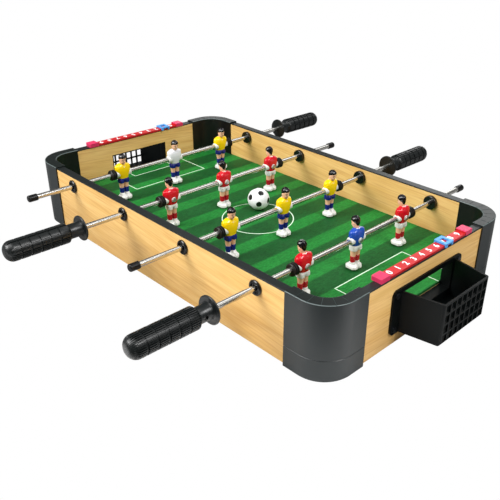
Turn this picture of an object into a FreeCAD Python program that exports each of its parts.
"""A tabletop foosball table: a wood-look box with moulded corners, four rods of players and two goals.

Millimetres, +Z up. The origin is on the floor under the middle of the field. X runs along the field from
goal to goal and Y across it, along the rods.
"""

import FreeCAD, Part
import math
import operator
import os
import types

import Sketcher
from FreeCAD import Placement, Rotation, Vector

DIMENSIONS = {
    # the box
    "table_length": 508.0,
    "table_width": 300.0,
    "panel_thick": 10.0,
    "panel_bottom": 3.0,
    "panel_top": 79.5,
    "panel_tuck": 12.0,
    "trim_thick": 1.5,
    "trim_round": 0.6,
    # the moulded corners
    "corner_reach": 53.0,
    "corner_radius": 34.0,
    "corner_inner_radius": 24.0,
    "shell_wall": 1.5,
    "cover_seam": 24.0,
    "cover_top": 82.5,
    "cover_round": 0.9,
    "seam_chamfer": 0.4,
    "foot_floor": 3.0,
    "foot_chamfer": 1.2,
    "foot_screw_seat": 1.5,
    "groove_width": 0.6,
    "groove_depth": 0.35,
    "groove_pitch_deg": 22.5,
    "straight_groove_at": 40.8,
    # the field
    "field_top": 32.0,
    "board_thick": 3.0,
    "board_gap": 0.2,
    "board_corner": 12.0,
    "ledge_size": 8.0,
    "ledge_inset": 19.0,
    # the goals
    "mouth_half": 45.0,
    "mouth_bottom": 27.0,
    "mouth_top": 62.0,
    "flange_half": 59.0,
    "flange_bottom": 15.5,
    "flange_top": 65.5,
    "flange_thick": 2.0,
    "flange_corner": 6.0,
    "box_depth": 43.0,
    "box_far_half": 39.2,
    "box_bottom": 17.0,
    "box_top": 62.5,
    "box_wall": 2.0,
    "box_round": 3.0,
    "mouth_liner": 1.5,
    "grid_pitch_y": 9.3,
    "grid_pitch_z": 10.9,
    "grid_hole_y": 7.3,
    "grid_hole_z": 8.9,
    # the score bars and their markers
    "score_centre": 246.0,
    "score_half_width": 5.5,
    "score_half_length": 77.5,
    "score_thick": 2.5,
    "score_block": 12.5,
    "score_block_top": 86.0,
    "score_block_proud": 0.5,
    "score_block_round": 0.8,
    "marker_half_length": 7.0,
    "marker_wall": 1.6,
    "marker_gap": 0.3,
    "marker_corner": 1.0,
    "marker_top": 85.6,
    "marker_window": 7.6,
    "marker_right_at": 32.5,
    "marker_left_at": 45.5,
    # the rods
    "rod_height": 68.5,
    "rod_pitch": 108.7,
    "rod_radius": 3.0,
    "rod_bore": 2.0,
    "rod_handle_end": 246.0,
    "rod_cap_end": 208.0,
    "running_gap": 0.08,
    "shift_1": 3.0,
    "shift_2": -1.0,
    "shift_3": -3.0,
    "shift_4": -3.0,
    # the bushings
    "bushing_radius": 6.0,
    "outer_flange_radius": 8.0,
    "outer_flange_thick": 2.5,
    "outer_flange_round": 1.5,
    "inner_flange_radius": 8.5,
    "inner_flange_thick": 4.5,
    "inner_flange_round": 1.1,
    # the handles and caps
    "handle_flange_at": 199.0,
    "handle_flange_thick": 2.5,
    "handle_flange_radius": 14.0,
    "handle_flange_round": 0.75,
    "neck_radius": 8.0,
    "grip_at": 215.0,
    "grip_radius": 11.0,
    "grip_shoulder": 2.5,
    "handle_tip": 284.5,
    "handle_tip_round": 5.0,
    "handle_screw_at": 210.0,
    "handle_screw_seat": 4.0,
    "cap_at": 199.0,
    "cap_tip": 210.0,
    "cap_radius": 4.1,
    "cap_round": 1.6,
    # the bumpers
    "bumper_at": 93.1,
    "bumper_length": 7.0,
    "bumper_radius": 6.75,
    "bumper_round": 1.4,
    # the players
    "player_pitch": 82.0,
    "foot_low": -34.8,
    "foot_top": -27.0,
    "foot_half": 7.8,
    "foot_corner": 2.0,
    "toe_reach": 8.0,
    "heel_reach": 6.5,
    "leg_half": 5.0,
    "leg_depth": 3.2,
    "leg_corner": 1.5,
    "hip_half": 6.2,
    "hip_low": -10.0,
    "hip_top": -5.0,
    "chest_half": 9.2,
    "chest_depth": 5.0,
    "arm_top": 8.4,
    "shoulder_half": 5.5,
    "shoulder_top": 12.0,
    "head_low": 11.0,
    "head_top": 25.5,
    "head_radius": 4.3,
    "head_round": 3.9,
    "boss_radius": 4.7,
    "boss_half": 9.9,
    "screw_boss_radius": 3.0,
    "screw_boss_reach": 6.4,
    # the screws
    "screw_radius": 1.25,
    "screw_tip_at": 1.6,
    "screw_hole_radius": 1.3,
    "screw_head_radius": 2.3,
    "screw_head_thick": 1.4,
    "case_screw_radius": 1.5,
    "case_screw_head_radius": 2.9,
    "case_screw_head_thick": 1.4,
    "case_screw_length": 9.0,
    # the ball
    "ball_radius": 14.0,
    "ball_x": -20.0,
    "ball_y": 27.0,
    "ball_lift": 0.3,
}

RODS = (1, 2, 3, 4)
MIDDLE_OF_RODS = 2.5
SCREW_BELOW_RODS = (2,)
FAR_HANDLE_RODS = (1, 3)
ARC_GROOVES = 4
GRID_COLUMNS = 8
GRID_ROWS = 4
OVERRUN = 1.0
LEVEL = 1e-6
FULL_TURN = 360
HALF_TURN = 180
CORNERS = (
    ("near_right", 1, -1, 0),
    ("far_right", 1, 1, 90),
    ("far_left", -1, 1, 180),
    ("near_left", -1, -1, 270),
)
SKETCH_PLANES = {"X": "YZ_Plane", "Y": "XZ_Plane", "Z": "XY_Plane"}
SIGNS = {"+": operator.add, "-": operator.sub, "*": operator.mul, "/": operator.truediv}

doc = FreeCAD.newDocument("foosball_table")


class Size:
    """A length that knows both its number and the sheet formula it comes from."""

    def __init__(self, value, text=None):
        self.value = float(value)
        self.text = text or str(float(value))

    def joined(self, sign, other, swap=False):
        left, right = (as_size(other), self) if swap else (self, as_size(other))
        value = SIGNS[sign](left.value, right.value)
        return Size(value, f"({left.text} {sign} {right.text})")

    def __add__(self, other):
        return self.joined("+", other)

    def __radd__(self, other):
        return self.joined("+", other, swap=True)

    def __sub__(self, other):
        return self.joined("-", other)

    def __rsub__(self, other):
        return self.joined("-", other, swap=True)

    def __mul__(self, other):
        return self.joined("*", other)

    def __rmul__(self, other):
        return self.joined("*", other, swap=True)

    def __truediv__(self, other):
        return self.joined("/", other)

    def __neg__(self):
        return self.joined("*", -1.0)


def as_size(number):
    return number if isinstance(number, Size) else Size(number)


def fill_sheet():
    """The spreadsheet of driving dimensions, and a Size for each of its aliases."""
    sheet = doc.addObject("Spreadsheet::Sheet", "Dims")
    for row, (alias, value) in enumerate(DIMENSIONS.items(), start=1):
        sheet.set(f"A{row}", alias)
        sheet.set(f"B{row}", str(value))
        sheet.setAlias(f"B{row}", alias)
    doc.recompute()
    sizes = {alias: Size(value, f"Dims.{alias}") for alias, value in DIMENSIONS.items()}
    return types.SimpleNamespace(**sizes)


d = fill_sheet()

# Lengths worked out from the driving ones
half_length = d.table_length / 2
half_width = d.table_width / 2
corner_band = d.panel_thick + 2 * d.shell_wall
panel_outer_x = half_length - d.shell_wall
panel_outer_y = half_width - d.shell_wall
panel_inner_x = panel_outer_x - d.panel_thick
panel_inner_y = panel_outer_y - d.panel_thick
panel_end_x = half_length - d.corner_reach + d.panel_tuck
panel_end_y = half_width - d.corner_reach + d.panel_tuck
trim_top = d.panel_top + d.trim_thick
board_bottom = d.field_top - d.board_thick
bore_radius = d.rod_radius + d.running_gap
flange_face = panel_outer_x + d.flange_thick
screw_from_end = d.panel_tuck / 2
rods_span = (len(RODS) - 1) * d.rod_pitch


def bind(thing, path, size):
    """Ties one property of an object to a formula on the sheet."""
    thing.setExpression(path, as_size(size).text)


def new_body(label, several=False):
    """A body named after its piece. One that holds several like solids says so."""
    body = doc.addObject("PartDesign::Body", label)
    body.Label = label
    body.AllowCompound = several
    return body


def origin_part(body, role):
    return next(part for part in body.Origin.OriginFeatures if part.Role == role)


def new_sketch(body, axis, offset):
    """A sketch square to an axis. The offset is (along the sketch's x, its y, its normal)."""
    sketch = body.newObject("Sketcher::SketchObject", f"{body.Name}_sketch")
    sketch.AttachmentSupport = [(origin_part(body, SKETCH_PLANES[axis]), "")]
    sketch.MapMode = "FlatFace"
    for path, size in zip("xyz", offset):
        bind(sketch, f"AttachmentOffset.Base.{path}", size)
    return sketch


def fix_point(sketch, item, spot, x, y):
    """Holds a point of the sketch at two sheet-driven distances from its origin."""
    for kind, size, zero_axis in (("DistanceX", x, -2), ("DistanceY", y, -1)):
        size = as_size(size)
        if size.value == 0:
            sketch.addConstraint(Sketcher.Constraint("PointOnObject", item, spot, zero_axis))
            continue
        index = sketch.addConstraint(Sketcher.Constraint(kind, -1, 1, item, spot, size.value))
        bind(sketch, f"Constraints[{index}]", size)


def fix_radius(sketch, item, radius):
    index = sketch.addConstraint(Sketcher.Constraint("Radius", item, radius.value))
    bind(sketch, f"Constraints[{index}]", radius)


def draw_circle(sketch, x, y, radius):
    centre = Vector(as_size(x).value, as_size(y).value, 0)
    item = sketch.addGeometry(Part.Circle(centre, Vector(0, 0, 1), radius.value), False)
    fix_point(sketch, item, 3, x, y)
    fix_radius(sketch, item, radius)


def direction(start, end):
    """-1, 0 or 1 along each of the sketch's axes, from one point to another."""
    return [(b.value > a.value) - (b.value < a.value) for a, b in zip(start, end)]


def draw_outline(sketch, corners):
    """A closed outline. A corner is (x, y), or (x, y, radius) where its two sides run along x and y."""
    spots = [(as_size(c[0]), as_size(c[1])) for c in corners]
    radii = [as_size(c[2]) if len(c) == 3 else None for c in corners]
    count = len(corners)
    entries, exits, centres, arcs = [], [], [], {}
    for i, (spot, radius) in enumerate(zip(spots, radii)):
        point = Vector(spot[0].value, spot[1].value, 0)
        if radius is None:
            entries.append(point)
            exits.append(point)
            centres.append(None)
            continue
        back = direction(spot, spots[i - 1])
        ahead = direction(spot, spots[(i + 1) % count])
        entries.append(point + Vector(*back, 0) * radius.value)
        exits.append(point + Vector(*ahead, 0) * radius.value)
        centres.append([spot[k] + (back[k] + ahead[k]) * radius for k in (0, 1)])
    lines = [
        sketch.addGeometry(Part.LineSegment(exits[i], entries[(i + 1) % count]), False) for i in range(count)
    ]
    for i, centre in enumerate(centres):
        if centre is None:
            continue
        middle = Vector(centre[0].value, centre[1].value, 0)
        start, end = entries[i] - middle, exits[i] - middle
        turns_left = start.cross(end).z > 0
        first, last = (start, end) if turns_left else (end, start)
        circle = Part.Circle(middle, Vector(0, 0, 1), radii[i].value)
        arc = Part.ArcOfCircle(circle, math.atan2(first.y, first.x), math.atan2(last.y, last.x))
        arcs[i] = (sketch.addGeometry(arc, False), turns_left)
    for i in range(count):
        before = lines[i - 1]
        if i not in arcs:
            sketch.addConstraint(Sketcher.Constraint("Coincident", before, 2, lines[i], 1))
            fix_point(sketch, lines[i], 1, *spots[i])
            continue
        arc, turns_left = arcs[i]
        enter, leave = (1, 2) if turns_left else (2, 1)
        sketch.addConstraint(Sketcher.Constraint("Tangent", before, 2, arc, enter))
        sketch.addConstraint(Sketcher.Constraint("Tangent", arc, leave, lines[i], 1))
        fix_point(sketch, arc, 3, *centres[i])
        fix_radius(sketch, arc, radii[i])


def draw(sketch, loops):
    """Draws loops: a tuple (x, y, radius) of a circle, or a list of an outline's corners."""
    for loop in loops:
        if isinstance(loop, list):
            draw_outline(sketch, loop)
        else:
            draw_circle(sketch, *loop)


def settle(body, feature, cut):
    """Recomputes, makes the feature the body's tip, and makes sure that a cut has cut."""
    before = body.Shape.Volume if cut else 0.0
    body.Tip = feature
    doc.recompute()
    if cut and feature.Shape.Volume >= before:
        raise RuntimeError(f"{feature.Name} of {body.Label} cuts nothing")
    return feature


def extrude(body, axis, low, high, loops, cut=False, centre=(0, 0)):
    """Pads or pockets loops between two levels along an axis. centre moves the sketch's origin."""
    low, high = as_size(low), as_size(high)
    level = -high if axis == "Y" else low
    sketch = new_sketch(body, axis, (*centre, level))
    draw(sketch, loops)
    kind = "Pocket" if cut else "Pad"
    feature = body.newObject(f"PartDesign::{kind}", f"{body.Name}_{kind.lower()}")
    feature.Profile = sketch
    bind(feature, "Length", high - low)
    feature.Reversed = cut
    return settle(body, feature, cut)


def turn(body, loops, centre=(0, 0), upright=False, cut=False):
    """Revolves loops about a line along Y, drawn as (y, radius), or about Z, drawn as (radius, z).

    centre is (x, z) of a line along Y.
    """
    sketch = new_sketch(body, "X", (0, centre[1], centre[0]))
    draw(sketch, loops)
    kind = "Groove" if cut else "Revolution"
    feature = body.newObject(f"PartDesign::{kind}", f"{body.Name}_{kind.lower()}")
    feature.Profile = sketch
    feature.ReferenceAxis = (sketch, ["V_Axis" if upright else "H_Axis"])
    feature.Angle = FULL_TURN
    return settle(body, feature, cut)


def repeat(body, feature, axis, length, count, cut=False):
    """Repeats a feature evenly along one of the body's axes."""
    pattern = body.newObject("PartDesign::LinearPattern", f"{body.Name}_row")
    pattern.Originals = [feature]
    pattern.Direction = (origin_part(body, f"{axis}_Axis"), [""])
    bind(pattern, "Length", length)
    pattern.Occurrences = count
    return settle(body, pattern, cut)


def soften(body, size, wanted, kind="Fillet"):
    """Rounds or chamfers the tip's edges for which wanted(edge) is true."""
    base = body.Tip
    names = [f"Edge{i}" for i, edge in enumerate(base.Shape.Edges, start=1) if wanted(edge)]
    feature = body.newObject(f"PartDesign::{kind}", f"{body.Name}_{kind.lower()}")
    feature.Base = (base, names)
    bind(feature, "Radius" if kind == "Fillet" else "Size", size)
    return settle(body, feature, True)


def place(body, x=0, y=0, z=0, turned=0):
    """Puts a body at sheet-driven coordinates, turned about Z by whole degrees."""
    body.Placement = Placement(Vector(0, 0, 0), Rotation(Vector(0, 0, 1), turned))
    for path, size in zip("xyz", (x, y, z)):
        bind(body, f"Placement.Base.{path}", size)


def in_order(first, second):
    """The lower of two sizes, then the higher."""
    return sorted((first, second), key=lambda size: size.value)


def block(x_low, x_high, y_low, y_high, radius=None):
    """The corners of an upright rectangle, all rounded alike if a radius is given."""
    corners = [(x_low, y_low), (x_high, y_low), (x_high, y_high), (x_low, y_high)]
    return corners if radius is None else [(*corner, radius) for corner in corners]


# ---------------------------------------------------------------- the box


def side_panel(label, turned):
    """A long side board, drilled for the four rods."""
    body = new_body(label)
    section = block(-panel_end_x, panel_end_x, d.panel_bottom, d.panel_top)
    extrude(body, "Y", -panel_outer_y, -panel_inner_y, [section])
    hole = (-rods_span / 2, d.rod_height, d.bushing_radius)
    drilled = extrude(body, "Y", -panel_outer_y - OVERRUN, -panel_inner_y + OVERRUN, [hole], cut=True)
    repeat(body, drilled, "X", rods_span, len(RODS), cut=True)
    pilot_x = panel_end_x - screw_from_end
    pilots = [(side * pilot_x, -panel_outer_y + d.panel_thick / 2, d.case_screw_radius) for side in (-1, 1)]
    extrude(body, "Z", d.panel_bottom, d.panel_bottom + d.case_screw_length, pilots, cut=True)
    place(body, turned=turned)


def end_panel(label, turned):
    """A short end board with the goal's mouth and the pilot holes of the goal box's screws."""
    body = new_body(label)
    section = block(-panel_end_y, panel_end_y, d.panel_bottom, d.panel_top)
    extrude(body, "X", panel_inner_x, panel_outer_x, [section])
    mouth = block(-d.mouth_half, d.mouth_half, d.mouth_bottom, d.mouth_top)
    extrude(body, "X", panel_inner_x - OVERRUN, panel_outer_x + OVERRUN, [mouth], cut=True)
    extrude(body, "X", panel_outer_x - d.case_screw_length, panel_outer_x, goal_screw_spots(), cut=True)
    pilot_y = panel_end_y - screw_from_end
    pilots = [(panel_outer_x - d.panel_thick / 2, side * pilot_y, d.case_screw_radius) for side in (-1, 1)]
    extrude(body, "Z", d.panel_bottom, d.panel_bottom + d.case_screw_length, pilots, cut=True)
    place(body, turned=turned)


def goal_screw_spots(radius=d.case_screw_radius):
    """Circles at the four corners of a goal box's flange."""
    inset = d.flange_corner
    y = d.flange_half - inset
    heights = (d.flange_bottom + inset, d.flange_top - inset)
    return [(side * y, z, radius) for side in (-1, 1) for z in heights]


def corner_ring(inset, overrun=0):
    """The plan of a corner, its outer corner at the origin, drawn in by an inset and open past its ends."""
    reach = d.corner_reach + overrun
    inner = corner_band - inset
    return [
        (-reach, inset),
        (-inset, inset, d.corner_radius - inset),
        (-inset, reach),
        (-inner, reach),
        (-inner, inner, d.corner_inner_radius + inset),
        (-reach, inner),
    ]


def corner_cover(label, x, y, turned):
    """The upper corner moulding: an outer wall, a capped top with tile-like grooves, and an inner wall."""
    body = new_body(label)
    extrude(body, "Z", d.cover_seam, d.cover_top, [corner_ring(as_size(0))])
    soften(body, d.cover_round, along_plan(d.cover_top))
    soften(body, d.seam_chamfer, along_plan(d.cover_seam), kind="Chamfer")
    extrude(body, "Z", d.cover_seam - OVERRUN, trim_top, [corner_ring(d.shell_wall, OVERRUN)], cut=True)
    slot = corner_band - d.shell_wall - OVERRUN / 2
    under_board = [
        (-d.corner_reach - OVERRUN, slot),
        (-slot, slot, d.corner_inner_radius + d.shell_wall + OVERRUN / 2),
        (-slot, d.corner_reach + OVERRUN),
        (-d.corner_reach - OVERRUN, d.corner_reach + OVERRUN),
    ]
    extrude(body, "Z", d.cover_seam - OVERRUN, d.field_top, [under_board], cut=True)
    groove_low = d.cover_top - d.groove_depth
    groove_high = d.cover_top + OVERRUN
    half = d.groove_width / 2
    at = d.straight_groove_at
    across_x_side = block(-at - half, -at + half, -OVERRUN, corner_band + OVERRUN)
    across_y_side = block(-corner_band - OVERRUN, OVERRUN, at - half, at + half)
    for groove in (across_x_side, across_y_side):
        extrude(body, "Z", groove_low, groove_high, [groove], cut=True)
    arc_grooves(body, groove_low, groove_high, half)
    place(body, x, y, 0, turned)


def arc_grooves(body, low, high, half):
    """The grooves across the cap's curve, turned about the curve's centre."""
    sketch = new_sketch(body, "Z", (-d.corner_radius, d.corner_radius, low))
    first = Rotation(Vector(0, 0, 1), -d.groove_pitch_deg.value / 2)
    sketch.AttachmentOffset = Placement(sketch.AttachmentOffset.Base, first)
    inner = d.corner_radius - corner_band - 3 * OVERRUN
    draw(sketch, [block(inner, d.corner_radius + OVERRUN, -half, half)])
    groove = body.newObject("PartDesign::Pocket", f"{body.Name}_groove")
    groove.Profile = sketch
    bind(groove, "Length", high - low)
    groove.Reversed = True
    settle(body, groove, True)
    pattern = body.newObject("PartDesign::PolarPattern", f"{body.Name}_grooves")
    pattern.Originals = [groove]
    pattern.Axis = (sketch, ["N_Axis"])
    bind(pattern, "Angle", (ARC_GROOVES - 1) * d.groove_pitch_deg)
    pattern.Occurrences = ARC_GROOVES
    pattern.Reversed = True
    settle(body, pattern, True)


def along_plan(level):
    """A test for a corner's edges at a height, but for those across its ends, which stay sharp."""

    def wanted(edge):
        box = edge.BoundBox
        is_there = box.ZLength < LEVEL and abs(box.ZMax - level.value) < LEVEL
        return is_there and edge.Length > corner_band.value + OVERRUN

    return wanted


def corner_foot(label, x, y, turned):
    """The lower corner moulding that the table stands on, with a floor under the boards' ends."""
    body = new_body(label)
    extrude(body, "Z", 0, d.cover_seam, [corner_ring(as_size(0))])
    soften(body, d.foot_chamfer, along_plan(as_size(0)), kind="Chamfer")
    soften(body, d.seam_chamfer, along_plan(d.cover_seam), kind="Chamfer")
    ring = corner_ring(d.shell_wall, OVERRUN)
    extrude(body, "Z", d.foot_floor, d.cover_seam + OVERRUN, [ring], cut=True)
    near = d.corner_reach - d.panel_tuck + screw_from_end
    middle = corner_band / 2
    spots = ((-near, middle), (-middle, near))
    holes = [(a, b, d.case_screw_radius) for a, b in spots]
    recesses = [(a, b, d.case_screw_head_radius + d.running_gap) for a, b in spots]
    extrude(body, "Z", -OVERRUN, d.foot_floor + OVERRUN, holes, cut=True)
    extrude(body, "Z", -OVERRUN, d.foot_screw_seat, recesses, cut=True)
    place(body, x, y, 0, turned)


def trim(label, axis, end, outer, inner, turned):
    """A grey strip on top of a board, its long upper edges rounded."""
    body = new_body(label)
    low, high = d.panel_top, trim_top
    near, far = (-outer, -inner) if axis == "X" else (inner, outer)
    section = [(near, low), (far, low), (far, high, d.trim_round), (near, high, d.trim_round)]
    extrude(body, axis, -end, end, [section])
    place(body, turned=turned)


def playfield():
    """The green board, which rests on the ledges and on the corners' feet."""
    body = new_body("playfield")
    x = panel_inner_x - d.board_gap
    y = panel_inner_y - d.board_gap
    extrude(body, "Z", board_bottom, d.field_top, [block(-x, x, -y, y, d.board_corner)])


def field_ledges():
    """Four strips glued inside the boards, which carry the field."""
    body = new_body("field_ledges", several=True)
    x, y = panel_inner_x, panel_inner_y
    end_x = panel_end_x - d.ledge_inset
    end_y = panel_end_y - d.ledge_inset
    strips = []
    for side in (-1, 1):
        strips.append(block(-end_x, end_x, *in_order(side * (y - d.ledge_size), side * y)))
        strips.append(block(*in_order(side * (x - d.ledge_size), side * x), -end_y, end_y))
    extrude(body, "Z", board_bottom - d.ledge_size, board_bottom, strips)


# ---------------------------------------------------------------- the goals


def goal_box(label, turned):
    """A flanged ball catcher, open at the top, whose end wall is a grid. A sleeve lines the goal's mouth."""
    body = new_body(label)
    flange = block(-d.flange_half, d.flange_half, d.flange_bottom, d.flange_top, d.flange_corner)
    extrude(body, "X", panel_outer_x, flange_face, [flange])
    end = flange_face + d.box_depth
    wide = d.mouth_half + d.box_wall
    outside = [(flange_face, -wide), (end, -d.box_far_half), (end, d.box_far_half), (flange_face, wide)]
    extrude(body, "Z", d.box_bottom, d.box_top, [outside])
    soften(body, d.box_round, at_far_end(end))
    sleeve = block(-d.mouth_half, d.mouth_half, d.mouth_bottom, d.mouth_top)
    extrude(body, "X", panel_inner_x, panel_outer_x, [sleeve])
    narrow = d.box_far_half - d.box_wall
    back = end - d.box_wall
    inside = [(flange_face, -d.mouth_half), (back, -narrow), (back, narrow), (flange_face, d.mouth_half)]
    floor = d.box_bottom + d.box_wall
    extrude(body, "Z", floor, d.box_top + OVERRUN, [inside], cut=True)
    clear = d.mouth_half - d.mouth_liner
    way_in = block(-clear, clear, d.mouth_bottom + d.mouth_liner, d.mouth_top - d.mouth_liner)
    extrude(body, "X", panel_inner_x - OVERRUN, flange_face, [way_in], cut=True)
    extrude(body, "X", panel_outer_x - OVERRUN, flange_face + OVERRUN, goal_screw_spots(), cut=True)
    grid_width = (GRID_COLUMNS - 1) * d.grid_pitch_y
    grid_height = (GRID_ROWS - 1) * d.grid_pitch_z
    first_y = -grid_width / 2
    first_z = (d.box_bottom + d.box_top - grid_height) / 2
    half_y, half_z = d.grid_hole_y / 2, d.grid_hole_z / 2
    column = []
    for row in range(GRID_ROWS):
        z = first_z + row * d.grid_pitch_z
        column.append(block(first_y - half_y, first_y + half_y, z - half_z, z + half_z))
    holes = extrude(body, "X", back - OVERRUN, end + OVERRUN, column, cut=True)
    repeat(body, holes, "Y", grid_width, GRID_COLUMNS, cut=True)
    place(body, turned=turned)


def at_far_end(end):
    """A test for the upright and bottom edges of a goal box's end wall."""

    def wanted(edge):
        box = edge.BoundBox
        return box.XMin > end.value - OVERRUN and box.ZMin < d.box_top.value - OVERRUN

    return wanted


def panel_screws():
    """The screws of both goal flanges, and those that hold the feet to the boards from below."""
    body = new_body("panel_screws", several=True)
    head = d.case_screw_head_radius
    for side in (-1, 1):
        tip = side * (panel_outer_x - d.case_screw_length + OVERRUN)
        face = side * flange_face
        top = side * (flange_face + d.case_screw_head_thick)
        extrude(body, "X", *in_order(tip, face), goal_screw_spots())
        extrude(body, "X", *in_order(face, top), goal_screw_spots(head))
    in_side = (panel_end_x - screw_from_end, half_width - corner_band / 2)
    in_end = (half_length - corner_band / 2, panel_end_y - screw_from_end)
    spots = [(i * x, j * y) for x, y in (in_side, in_end) for i in (-1, 1) for j in (-1, 1)]
    seat = d.foot_screw_seat
    tip = d.panel_bottom + d.case_screw_length - OVERRUN
    extrude(body, "Z", seat, tip, [(x, y, d.case_screw_radius) for x, y in spots])
    extrude(body, "Z", seat - d.case_screw_head_thick, seat, [(x, y, head) for x, y in spots])


# ---------------------------------------------------------------- the score bars


def score_bar(label, turned):
    """A flat bar on the end trim, with a raised block at each end."""
    body = new_body(label)
    low, high = d.score_centre - d.score_half_width, d.score_centre + d.score_half_width
    end = d.score_half_length
    extrude(body, "Z", trim_top, trim_top + d.score_thick, [block(low, high, -end, end)])
    start = end - d.score_block
    proud = d.score_block_proud
    for y_low, y_high in ((-end, -start), (start, end)):
        section = [
            (y_low, trim_top),
            (y_high, trim_top),
            (y_high, d.score_block_top, d.score_block_round),
            (y_low, d.score_block_top, d.score_block_round),
        ]
        extrude(body, "X", low - proud, high + proud, [section])
    place(body, turned=turned)


def score_marker(label, at, turned):
    """A saddle that straddles the bar, with a window for one digit."""
    body = new_body(label)
    half = d.marker_half_length
    inner = d.score_half_width + d.marker_gap
    outer = inner + d.marker_wall
    low = trim_top + d.marker_gap
    underside = trim_top + d.score_thick + d.marker_gap
    x = d.score_centre
    extrude(body, "Z", low, d.marker_top, [block(x - outer, x + outer, -half, half, d.marker_corner)])
    channel = block(x - inner, x + inner, low - OVERRUN, underside)
    extrude(body, "Y", -half - OVERRUN, half + OVERRUN, [channel], cut=True)
    reach = d.marker_window / 2
    window = block(x - reach, x + reach, -reach, reach)
    extrude(body, "Z", low, d.marker_top + OVERRUN, [window], cut=True)
    legs = block(-half / 2, half / 2, low - OVERRUN, underside)
    extrude(body, "X", x - outer - OVERRUN, x + outer + OVERRUN, [legs], cut=True)
    place(body, y=at, turned=turned)


# ---------------------------------------------------------------- the rods

# A rod and what is fixed to it are drawn about their own axis with the handle towards -Y and the players
# facing -X, then put at the rod's place. Rods with their handle on the far side are turned half round.


def rod_place(body, number, along=0):
    """Puts a piece drawn about the rod's axis at its rod, some way along it."""
    far = number in FAR_HANDLE_RODS
    x = (number - MIDDLE_OF_RODS) * d.rod_pitch
    shift = getattr(d, f"shift_{number}")
    y = shift - along if far else shift + along
    place(body, x, y, d.rod_height, HALF_TURN if far else 0)


def outer_bushings():
    """Eight flanged sleeves pushed in from outside."""
    body = new_body("outer_bushings", several=True)
    face = panel_outer_y
    middle = panel_outer_y - d.panel_thick / 2
    out = face + d.outer_flange_thick
    turn_bushings(body, middle, face, out, d.outer_flange_radius, d.outer_flange_round)


def inner_bushings():
    """Eight flanged sleeves pushed in from inside, which stop the bumpers."""
    body = new_body("inner_bushings", several=True)
    face = panel_inner_y
    middle = panel_inner_y + d.panel_thick / 2
    out = face - d.inner_flange_thick
    turn_bushings(body, middle, face, out, d.inner_flange_radius, d.inner_flange_round)


def turn_bushings(body, middle, face, out, flange_radius, soft):
    """A sleeve in each long board at the first rod, repeated at the others."""
    sections = []
    for side in (-1, 1):
        sleeve = [
            (side * middle, bore_radius),
            (side * out, bore_radius),
            (side * out, flange_radius, soft),
            (side * face, flange_radius),
            (side * face, d.bushing_radius),
            (side * middle, d.bushing_radius),
        ]
        sections.append(sleeve)
    pair = turn(body, sections, centre=(-rods_span / 2, d.rod_height))
    repeat(body, pair, "X", rods_span, len(RODS))


def rod(number):
    """A steel tube, cross-drilled for the players' screws and the handle's."""
    body = new_body(f"rod_{number}")
    section = [
        (-d.rod_handle_end, d.rod_bore),
        (d.rod_cap_end, d.rod_bore),
        (d.rod_cap_end, d.rod_radius),
        (-d.rod_handle_end, d.rod_radius),
    ]
    turn(body, [section])
    holes = [(y, 0, d.screw_hole_radius) for y in player_spots()]
    extrude(body, "X", 0, d.rod_radius + OVERRUN, holes, cut=True)
    at_handle_screw(body, number, 0, d.rod_radius + OVERRUN, d.screw_hole_radius, cut=True)
    rod_place(body, number)


def at_handle_screw(body, number, inner, outer, radius, cut=False):
    """A round feature at the handle's screw, which points to the players' backs, or straight down."""
    along = -d.handle_screw_at
    if number in SCREW_BELOW_RODS:
        return extrude(body, "Z", -as_size(outer), -as_size(inner), [(0, along, radius)], cut=cut)
    return extrude(body, "X", inner, outer, [(along, 0, radius)], cut=cut)


def player_spots():
    """Where the players are on a rod, from the handle's side."""
    return [-d.player_pitch, Size(0), d.player_pitch]


def handle(number):
    """A grip with a stop flange and a neck, bored for the rod and drilled for its screw."""
    body = new_body(f"handle_{number}")
    start = d.handle_flange_at
    flange_end = start + d.handle_flange_thick
    neck_end = d.grip_at
    section = [
        (-start, 0),
        (-start, d.handle_flange_radius, d.handle_flange_round),
        (-flange_end, d.handle_flange_radius, d.handle_flange_round),
        (-flange_end, d.neck_radius),
        (-neck_end, d.neck_radius),
        (-neck_end - d.grip_shoulder, d.grip_radius),
        (-d.handle_tip, d.grip_radius, d.handle_tip_round),
        (-d.handle_tip, 0),
    ]
    turn(body, [section])
    bore = block(-d.rod_handle_end, -start + OVERRUN, 0, d.rod_radius)
    turn(body, [bore], cut=True)
    outside = d.neck_radius + OVERRUN
    at_handle_screw(body, number, 0, outside, d.screw_hole_radius, cut=True)
    at_handle_screw(body, number, d.handle_screw_seat, outside, d.screw_head_radius, cut=True)
    rod_place(body, number)


def end_cap(number):
    """A soft tip over the rod's free end."""
    body = new_body(f"end_cap_{number}")
    section = [
        (d.cap_at, d.rod_radius),
        (d.rod_cap_end, d.rod_radius),
        (d.rod_cap_end, 0),
        (d.cap_tip, 0),
        (d.cap_tip, d.cap_radius, d.cap_round),
        (d.cap_at, d.cap_radius),
    ]
    turn(body, [section])
    rod_place(body, number)


def bumpers(number):
    """Two rubber rings outside the outer players, loose enough for the rod to turn in."""
    body = new_body(f"bumpers_{number}", several=True)
    sections = []
    for side in (-1, 1):
        near, far = side * d.bumper_at, side * (d.bumper_at + d.bumper_length)
        ring = [
            (near, bore_radius),
            (far, bore_radius),
            (far, d.bumper_radius, d.bumper_round),
            (near, d.bumper_radius, d.bumper_round),
        ]
        sections.append(ring)
    turn(body, sections)
    rod_place(body, number)


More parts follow.
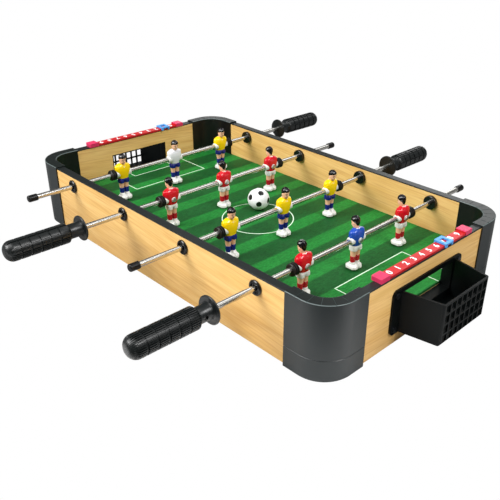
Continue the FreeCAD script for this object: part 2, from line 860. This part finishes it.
def player(number, letter, along):
    """A moulded figure with a boss round the rod and a screw boss in its back."""
    body = new_body(f"player_{number}{letter}")
    foot = block(-d.toe_reach, d.heel_reach, -d.foot_half, d.foot_half, d.foot_corner)
    extrude(body, "Z", d.foot_low, d.foot_top, [foot])
    legs = block(-d.leg_depth, d.leg_depth, -d.leg_half, d.leg_half, d.leg_corner)
    extrude(body, "Z", d.foot_top, d.hip_top, [legs])
    figure = [
        (-d.hip_half, d.hip_low),
        (d.hip_half, d.hip_low),
        (d.hip_half, d.hip_top),
        (d.chest_half, 0),
        (d.chest_half, d.arm_top),
        (d.shoulder_half, d.shoulder_top),
        (-d.shoulder_half, d.shoulder_top),
        (-d.chest_half, d.arm_top),
        (-d.chest_half, 0),
        (-d.hip_half, d.hip_top),
    ]
    extrude(body, "X", -d.chest_depth, d.chest_depth, [figure])
    extrude(body, "Y", -d.boss_half, d.boss_half, [(0, 0, d.boss_radius)])
    extrude(body, "X", 0, d.screw_boss_reach, [(0, 0, d.screw_boss_radius)])
    head = [
        (0, d.head_low),
        (d.head_radius, d.head_low),
        (d.head_radius, d.head_top, d.head_round),
        (0, d.head_top),
    ]
    turn(body, [head], upright=True)
    extrude(body, "Y", -d.boss_half - OVERRUN, d.boss_half + OVERRUN, [(0, 0, d.rod_radius)], cut=True)
    extrude(body, "X", 0, d.screw_boss_reach + OVERRUN, [(0, 0, d.screw_hole_radius)], cut=True)
    rod_place(body, number, along)


def rod_screws(number):
    """The three players' screws and the handle's."""
    body = new_body(f"rod_screws_{number}", several=True)
    tip = d.screw_tip_at
    seat = d.screw_boss_reach
    spots = player_spots()
    extrude(body, "X", tip, seat, [(y, 0, d.screw_radius) for y in spots])
    extrude(body, "X", seat, seat + d.screw_head_thick, [(y, 0, d.screw_head_radius) for y in spots])
    seat = d.handle_screw_seat
    at_handle_screw(body, number, tip, seat, d.screw_radius)
    head = d.screw_head_radius - d.running_gap
    at_handle_screw(body, number, seat, seat + d.screw_head_thick, head)
    rod_place(body, number)


def ball():
    """The ball, a hair above the field so that it can move."""
    sphere = doc.addObject("Part::Sphere", "ball")
    sphere.Label = "ball"
    bind(sphere, "Radius", d.ball_radius)
    place(sphere, d.ball_x, d.ball_y, d.field_top + d.ball_radius + d.ball_lift)


# ---------------------------------------------------------------- the whole table

for name, degrees in (("near", 0), ("far", HALF_TURN)):
    side_panel(f"side_panel_{name}", degrees)
    trim(f"side_trim_{name}", "X", panel_end_x, panel_outer_y, panel_inner_y, degrees)
for name, degrees in (("right", 0), ("left", HALF_TURN)):
    end_panel(f"end_panel_{name}", degrees)
    trim(f"end_trim_{name}", "Y", panel_end_y, panel_outer_x, panel_inner_x, degrees)
    goal_box(f"goal_box_{name}", degrees)
    score_bar(f"score_bar_{name}", degrees)
    score_marker(f"score_marker_{name}", getattr(d, f"marker_{name}_at"), degrees)
for name, side_x, side_y, degrees in CORNERS:
    corner_cover(f"corner_cover_{name}", side_x * half_length, side_y * half_width, degrees)
    corner_foot(f"corner_foot_{name}", side_x * half_length, side_y * half_width, degrees)
playfield()
field_ledges()
panel_screws()
outer_bushings()
inner_bushings()
ball()
for rod_number in RODS:
    rod(rod_number)
    handle(rod_number)
    end_cap(rod_number)
    bumpers(rod_number)
    rod_screws(rod_number)
    for player_letter, player_along in zip("abc", player_spots()):
        player(rod_number, player_letter, player_along)

doc.recompute()


def export():
    """Writes every piece, once nothing in the document has failed."""
    for item in doc.Objects:
        if "Invalid" in item.State or "Error" in item.State:
            raise RuntimeError(f"{item.Name} failed: {item.State}")
    pieces = [item for item in doc.Objects if item.TypeId in ("PartDesign::Body", "Part::Sphere")]
    os.makedirs("parts", exist_ok=True)
    for piece in pieces:
        if piece.Shape.isNull() or not piece.Shape.isValid():
            raise RuntimeError(f"{piece.Label} has no valid shape")
        piece.Shape.exportStep(f"parts/{piece.Label}.step")
    print(len(pieces), "pieces written")


export()
